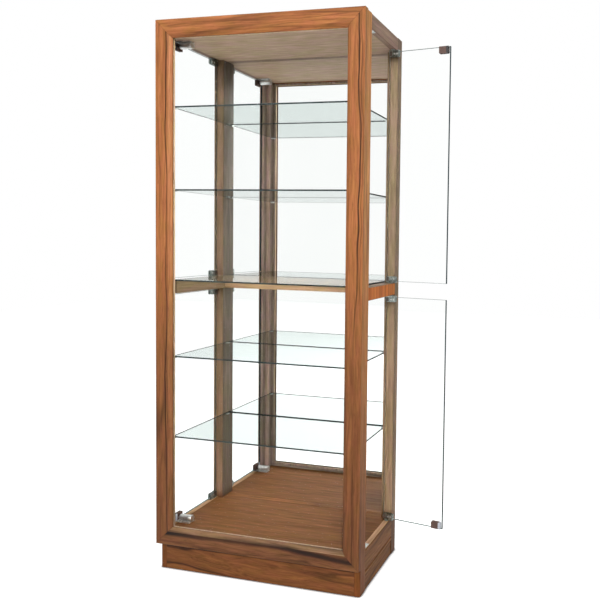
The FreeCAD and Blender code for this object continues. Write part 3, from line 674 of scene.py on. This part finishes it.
def dress_case():
    """Wooden nodes behind the front frame, with the faces that differ from the rest of their node."""
    for name, key in WOODEN.items():
        dress(name, walnut_of(*key))
    for side, sign in SIDES.items():
        post, rail, block = f"post_front_{side}", f"mid_rail_{side}", f"hinge_block_{side}"
        joint_and_shadow_line = Band("Y", across(block, "Y", 0.0), half=3.0 * MM, wander=0.0)
        # Painted light on the front posts' back and inward faces
        dress_faces(post, walnut_of("rear", "Z"), lambda normal: normal.y > FACING)
        dress_faces(post, walnut_of("inner", "Z"), lambda normal: normal.x * sign < -FACING)
        # Painted light: brighter copies on the outer faces of the mid rails and hinge blocks, a lighter one
        # on top of the side bottom rails
        dress_faces(rail, walnut_of("orange", "Z"), lambda normal: normal.x * sign > FACING)
        dress_faces(block, walnut("amber", "Z", joint_and_shadow_line), lambda normal: normal.x * sign > FACING)
        dress_faces(f"bottom_rail_{side}", walnut_of("strip", "Y"), lambda normal: normal.z > FACING)
    # Painted light on the beads' backs
    dress_faces("front_glass_beads", walnut_of("inner", "Z"), lambda normal: normal.y > FACING)
    shadow_line = Band("Z", across("plinth_front", "Z", 0.89), half=3.0 * MM, wander=1.0 * MM)
    dress("plinth_front", walnut("plinth", "X", shadow_line))
    # Painted light on the left back post's front faces
    dress_faces("post_back_left", walnut_of("dun", "Z"), lambda normal: normal.y < -FACING)


def dress_pane(name, face, edge, arris):
    """Clear faces and ground edges; a pane's largest faces are its clear ones."""
    pane = nodes[name]
    pane.data.materials.clear()
    pane.data.materials.append(face)
    pane.data.materials.append(edge)
    largest = max(pane.data.polygons, key=lambda polygon: polygon.area)
    for polygon in pane.data.polygons:
        polygon.material_index = 0 if abs(polygon.normal.dot(largest.normal)) > FACING else 1
    ease(pane, arris).material = 1


def dress_glass():
    edge = ground_edge("ground_edge")
    shelf_face = clear_glass("shelf_glass", SHELF_TINT, SHELF_IOR)
    door_face = clear_glass("door_glass", PANE_TINT, PANE_IOR, is_door=True)
    door_edge = ground_edge("door_edge", is_door=True)
    dress_pane("front_glass", clear_glass("front_glass", PANE_TINT, PANE_IOR), edge, FRONT_PANE_ARRIS)
    for number in range(1, SHELVES + 1):
        dress_pane(f"shelf_{number}", shelf_face, edge, SHELF_ARRIS)
    for door in DOORS:
        dress_pane(f"door_glass_{door}", door_face, door_edge, DOOR_ARRIS)


def dress_back():
    silver, board = mirror_silver(), hardboard()
    for level in LEVELS:
        dress(f"mirror_{level}", silver, THIN_ARRIS)
        dress(f"back_board_{level}", board, THIN_ARRIS)


def dress_fittings():
    for name in ("shelf_pins", "back_clips"):
        dress(name, FITTING_STEEL, THIN_ARRIS)
    dress("hinge_bushes", HINGE_METAL, THIN_ARRIS)
    dress("latch_housings", LATCH_METAL, LATCH_ARRIS)
    for door in DOORS:
        dress(f"hinge_clips_{door}", HINGE_METAL, CLIP_ARRIS)
        dress(f"strike_clip_{door}", STRIKE_BROWN[door.split("_")[0]], STRIKE_ARRIS)
        dress(f"latch_plunger_{door}", MAGNET_TIP, THIN_ARRIS)


# Small pieces

ROUND = 24
ROUND_ANGLES = [2 * math.pi * step / ROUND for step in range(ROUND)]
CORNER_STEPS = 5
SHARP = math.radians(32)
# Radius and height of a screw head's rings as shares of its own, then its socket's width and floor
HEAD_RINGS = [(1.0, 0.0), (1.0, 0.35), (0.9, 0.75), (0.72, 1.0)]
SOCKET_WIDE = 0.5
SOCKET_FLOOR = 0.3
# Chamfer of a plate as a share of its thickness
PLATE_RIM = 0.4


def skin(form, rings):
    """Closed skin over rings of as many points each."""
    for below, above in zip(rings, rings[1:]):
        for index in range(len(below)):
            after = (index + 1) % len(below)
            form.faces.new((below[index], below[after], above[after], above[index]))
    form.faces.new(rings[0][::-1])
    form.faces.new(rings[-1])


def add_ring(form, place, points, height):
    return [form.verts.new(place @ Vector((x, y, height))) for x, y in points]


def circle(radius):
    return [(radius * math.cos(angle), radius * math.sin(angle)) for angle in ROUND_ANGLES]


def hexagon(apothem):
    """Hexagon with as many points as a circle."""
    sixth = math.pi / 3
    reach = [apothem / math.cos((angle + sixth / 2) % sixth - sixth / 2) for angle in ROUND_ANGLES]
    return [(far * math.cos(angle), far * math.sin(angle)) for far, angle in zip(reach, ROUND_ANGLES)]


def rounded(wide, high, corner):
    """Rectangle with round corners, counterclockwise."""
    points = []
    for quarter, (x, y) in enumerate(((1, 1), (-1, 1), (-1, -1), (1, -1))):
        centre = Vector((x * (wide / 2 - corner), y * (high / 2 - corner)))
        for step in range(CORNER_STEPS):
            angle = math.pi / 2 * (quarter + step / (CORNER_STEPS - 1))
            points.append(centre + corner * Vector((math.cos(angle), math.sin(angle))))
    return points


def screw_head(form, place, radius, height):
    """Button head with a hexagon socket, seated on the XY plane of its place."""
    levels = [(circle(wide * radius), high * height) for wide, high in HEAD_RINGS]
    socket = hexagon(SOCKET_WIDE * radius)
    levels += [(socket, height), (socket, SOCKET_FLOOR * height)]
    skin(form, [add_ring(form, place, points, level) for points, level in levels])


def plate(form, place, size, corner):
    """Thin plate with round corners and a chamfered rim, seated on the XY plane of its place."""
    wide, high, thick = size
    rim = PLATE_RIM * thick
    base = rounded(wide, high, corner)
    top = rounded(wide - 2 * rim, high - 2 * rim, corner - rim)
    levels = [(base, 0.0), (base, thick - rim), (top, thick)]
    skin(form, [add_ring(form, place, points, level) for points, level in levels])


def facing(point, outward):
    """Place whose Z axis points outward from a surface and whose Y axis points up where it can."""
    return Matrix.Translation(point) @ Vector(outward).to_track_quat("Z", "Y").to_matrix().to_4x4()


def piece(name, body, finish, build):
    """Make a visible piece that rides on a body."""
    form = bmesh.new()
    build(form)
    bmesh.ops.recalc_face_normals(form, faces=form.faces)
    mesh = bpy.data.meshes.new(name)
    form.to_mesh(mesh)
    form.free()
    mesh.shade_smooth()
    mesh.set_sharp_from_angle(angle=SHARP)
    mesh.materials.append(finish)
    thing = bpy.data.objects.new(name, mesh)
    bpy.context.scene.collection.objects.link(thing)
    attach(thing, body)


def closed_to_rest(door):
    """Matrix that turns a closed door on its pivot to where it rests."""
    joint = joints[f"door_{door}_hinge"]
    pivot = Matrix.Translation(joint["pos_m"])
    turn = Matrix.Rotation(math.radians(-joint["range_deg"][0]), 4, joint["axis"])
    return pivot @ turn @ pivot.inverted()


def clip_spans(door):
    """Heights between which each of a door's two hinge clips grips its glass."""
    low, high = (corner[2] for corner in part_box(f"door_glass_{door}"))
    heights = [vertex.co.z for vertex in nodes[f"hinge_clips_{door}"].data.vertices]
    middle = (low + high) / 2
    lower_end = max(height for height in heights if height < middle)
    upper_end = min(height for height in heights if height > middle)
    return [(low, lower_end), (upper_end, high)]


SCREW_RADIUS = 2.8 * MM
SCREW_HIGH = 1.2 * MM
# Places of the screws as shares of the clip's grip
HINGE_SCREWS = (0.3, 0.72)
PAD_THICK = 0.5 * MM
PAD_CORNER = 1.5 * MM
HINGE_MARGIN = 2.5 * MM
CAP_WIDE = 8.0 * MM
CAP_MARGIN = 0.4 * MM
CAP_THICK = 0.5 * PAD_THICK


def both_faces(door, clip):
    """Faces of a door's clip when closed, as (x, direction), from the left door, which rests closed."""
    level, side = door.split("_")
    low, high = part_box(f"{clip}_{level}_left")
    sign = SIDES[side]
    return [(-sign * low.x, sign), (-sign * high.x, -sign)]


def hinge_details(door):
    """Two clamp screws on each face of a hinge clip, and a dark pad over its pivot end."""
    turn = closed_to_rest(door)
    pivot_y = joints[f"door_{door}_hinge"]["pos_m"][1]
    low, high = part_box(f"hinge_clips_{door.split('_')[0]}_left")
    pad_long = high[1] - HINGE_MARGIN / 2 - pivot_y - HINGE_MARGIN
    grip = pivot_y - low[1]
    screw_places = [pivot_y - grip * share for share in HINGE_SCREWS]
    pad_place = pivot_y + HINGE_MARGIN + pad_long / 2

    def screws(form):
        for x, outward in both_faces(door, "hinge_clips"):
            for bottom, top in clip_spans(door):
                for y in screw_places:
                    place = facing((x, y, (bottom + top) / 2), (outward, 0, 0))
                    screw_head(form, turn @ place, SCREW_RADIUS, SCREW_HIGH)

    def pads(form):
        for x, outward in both_faces(door, "hinge_clips"):
            for bottom, top in clip_spans(door):
                place = facing((x, pad_place, (bottom + top) / 2), (outward, 0, 0))
                plate(form, turn @ place, (pad_long, top - bottom - HINGE_MARGIN, PAD_THICK), PAD_CORNER)

    piece(f"hinge_screws_{door}", f"door_{door}", FITTING_STEEL, screws)
    piece(f"hinge_pads_{door}", f"door_{door}", HINGE_PAD, pads)


def strike_details(door):
    """End caps on both faces of a strike clip, dark above, where the dark is painted shade, and bright
    below.
    """
    level = door.split("_")[0]
    turn = closed_to_rest(door)
    low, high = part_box(f"strike_clip_{level}_left")
    y = low[1] + CAP_WIDE / 2 + CAP_MARGIN
    tall = high[2] - low[2] - 2 * CAP_MARGIN

    def caps(form):
        for x, outward in both_faces(door, "strike_clip"):
            place = facing((x, y, (low[2] + high[2]) / 2), (outward, 0, 0))
            plate(form, turn @ place, (CAP_WIDE, tall, CAP_THICK), PAD_CORNER)

    piece(f"strike_caps_{door}", f"door_{door}", STRIKE_CAP[level], caps)


LATCH_SCREW_RADIUS = 2.2 * MM
LATCH_SCREW_HIGH = 1.1 * MM
LATCH_SCREW_EDGE = 3.4 * MM
# Places of the screws as shares of the latch's length
LATCH_SCREWS = (0.18, 0.7)
SHOE_GAP = 0.5 * MM
SHOE_MARGIN = 4.0 * MM
SHOE_THICK = 2.5 * MM
SHOE_CORNER = 2.0 * MM


def latch_screws():
    """Four screws in the foot of each touch latch, on the second level from its outer end."""
    low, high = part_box("latch_housings")
    corners = nodes["latch_housings"].data.vertices
    levels = sorted({round(vertex.co.z, 5) for vertex in corners})
    nearest = min(abs(vertex.co.x) for vertex in corners)
    long = high[0] - nearest

    def build(form):
        for z, up in ((levels[1], 1), (levels[-2], -1)):
            for sign in SIDES.values():
                for share in LATCH_SCREWS:
                    for y in (low[1] + LATCH_SCREW_EDGE, high[1] - LATCH_SCREW_EDGE):
                        place = facing((sign * (nearest + share * long), y, z), (0, 0, up))
                        screw_head(form, place, LATCH_SCREW_RADIUS, LATCH_SCREW_HIGH)

    piece("latch_screws", "cabinet", FITTING_STEEL, build)


def latch_shoes():
    """Bright shoe beside each touch latch, flat on the face that the latch is screwed to."""
    low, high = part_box("latch_housings")
    post_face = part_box("post_front_right")[1].x
    inner, outer = high[0] + SHOE_GAP, post_face - SHOE_MARGIN
    size = (outer - inner, high[1] - low[1], SHOE_THICK)
    y = (low[1] + high[1]) / 2

    def build(form):
        for z, up in ((low[2], 1), (high[2], -1)):
            for sign in SIDES.values():
                place = facing((sign * (inner + outer) / 2, y, z), (0, 0, up))
                plate(form, place, size, SHOE_CORNER)

    piece("latch_shoes", "cabinet", FITTING_STEEL, build)


def clip_screws():
    """A screw through each back clip into its back post."""
    clips = nodes["back_clips"].data.vertices
    low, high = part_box("back_clips")
    levels = sorted({round(vertex.co.z, 5) for vertex in clips})
    middles = [(bottom + top) / 2 for bottom, top in zip(levels[::2], levels[1::2])]
    near_edge = high[2] - middles[-1]

    def build(form):
        for x in (low[0] + near_edge, high[0] - near_edge):
            for z in middles:
                screw_head(form, facing((x, high[1], z), (0, 1, 0)), SCREW_RADIUS, SCREW_HIGH)

    piece("clip_screws", "cabinet", FITTING_STEEL, build)


# Stage, light and camera

FLOOR_HALF = 7.0
FLOOR_COLOUR = (0.86, 0.86, 0.86, 1.0)
FLOOR_GLOW = 0.66
# Painted contact shadow on the floor: its reach, range of openness, darkest share and samples
CONTACT_SHADOW_REACH = 0.012
CONTACT_SHADOW_RANGE = (0.5, 0.97)
CONTACT_SHADOW_DARK = 0.12
CONTACT_SHADOW_SAMPLES = 8
AMBIENT = 0.42
# Place, width and height, and watts of each soft lamp, and the point that both face
Lamp = namedtuple("Lamp", "place size watts")
LAMPS = {
    "key": Lamp((2.5, -4.4, 3.3), (1.9, 1.9), 210.0),
    "fill": Lamp((-0.3, -3.4, 2.5), (1.4, 1.4), 40.0),
}
LAMP_TARGET = (0.0, 0.0, 1.1)


def seen_directly(tree):
    """1 for rays from the camera, from gloss and through glass, else 0."""
    path = node(tree, "LightPath").outputs
    first = math_node(tree, "MAXIMUM", path["Is Camera Ray"], path["Is Glossy Ray"])
    return math_node(tree, "MAXIMUM", first, path["Is Transmission Ray"])


def make_floor():
    mesh = bpy.data.meshes.new("stage_floor")
    corners = [(-1, -1), (1, -1), (1, 1), (-1, 1)]
    mesh.from_pydata([(FLOOR_HALF * x, FLOOR_HALF * y, 0.0) for x, y in corners], [], [(0, 1, 2, 3)])
    floor = bpy.data.objects.new("stage_floor", mesh)
    bpy.context.scene.collection.objects.link(floor)
    made, tree, shader = material("stage_floor")
    # Painted contact shadow: the floor's colour and glow darken where it meets the case
    sky = open_sky(tree, CONTACT_SHADOW_REACH, CONTACT_SHADOW_SAMPLES)
    lit = between(tree, sky, *CONTACT_SHADOW_RANGE, CONTACT_SHADOW_DARK, 1.0)
    shade = mixed(tree, lit, (0.0, 0.0, 0.0, 1.0), FLOOR_COLOUR)
    fill(tree, shader, {"Base Color": shade, "Roughness": 0.9, "Specular IOR Level": 0.0})
    seen = between(tree, seen_directly(tree), 0.0, 1.0, 0.0, FLOOR_GLOW)
    glow = node(tree, "Emission", {"Strength": math_node(tree, "MULTIPLY", seen, lit)})
    total = node(tree, "AddShader", {0: shader.outputs[0], 1: glow.outputs[0]})
    tree.links.new(total.outputs[0], tree.nodes["Material Output"].inputs["Surface"])
    mesh.materials.append(made)


def make_world():
    world = bpy.data.worlds.new("studio")
    bpy.context.scene.world = world
    world.use_nodes = True
    tree = world.node_tree
    sky = tree.nodes["Background"]
    sky.inputs["Color"].default_value = (1.0, 1.0, 1.0, 1.0)
    tree.links.new(between(tree, seen_directly(tree), 0.0, 1.0, AMBIENT, 1.0), sky.inputs["Strength"])


def softbox(name, lamp):
    light = bpy.data.lights.new(name, "AREA")
    light.shape = "RECTANGLE"
    light.size, light.size_y = lamp.size
    light.energy = lamp.watts
    thing = bpy.data.objects.new(name, light)
    thing.location = lamp.place
    ahead = Vector(LAMP_TARGET) - Vector(lamp.place)
    thing.rotation_euler = ahead.to_track_quat("-Z", "Y").to_euler()
    bpy.context.scene.collection.objects.link(thing)


# Camera fitted to the corners of the frame, the posts and the plinth; angles in radians
CAMERA_PLACE = (1.0917, -1.7246, 1.1167)
CAMERA_YAW = 0.2154
CAMERA_PITCH = -0.0407
CAMERA_ROLL = 0.0202
CAMERA_FOCUS = 36.28
CAMERA_SHIFT = (-0.30, -0.0591)
SENSOR = 36.0


def make_camera():
    ahead = Vector((-math.sin(CAMERA_YAW) * math.cos(CAMERA_PITCH),
                    math.cos(CAMERA_YAW) * math.cos(CAMERA_PITCH),
                    math.sin(CAMERA_PITCH)))
    level = Vector((math.cos(CAMERA_YAW), math.sin(CAMERA_YAW), 0.0))
    above = level.cross(ahead)
    right = math.cos(CAMERA_ROLL) * level + math.sin(CAMERA_ROLL) * above
    up = math.cos(CAMERA_ROLL) * above - math.sin(CAMERA_ROLL) * level
    lens = bpy.data.cameras.new("camera")
    lens.sensor_width = SENSOR
    lens.lens = CAMERA_FOCUS
    lens.shift_x, lens.shift_y = CAMERA_SHIFT
    camera = bpy.data.objects.new("camera", lens)
    columns = Matrix((right, up, -ahead)).transposed()
    camera.matrix_world = Matrix.Translation(CAMERA_PLACE) @ columns.to_4x4()
    bpy.context.scene.collection.objects.link(camera)
    bpy.context.scene.camera = camera


bpy.context.scene.view_settings.view_transform = "Standard"
make_floor()
make_world()
for name, lamp in LAMPS.items():
    softbox(name, lamp)
make_camera()
dress_front()
dress_case()
dress_glass()
dress_back()
dress_fittings()
for door in DOORS:
    hinge_details(door)
    strike_details(door)
latch_screws()
latch_shoes()
clip_screws()
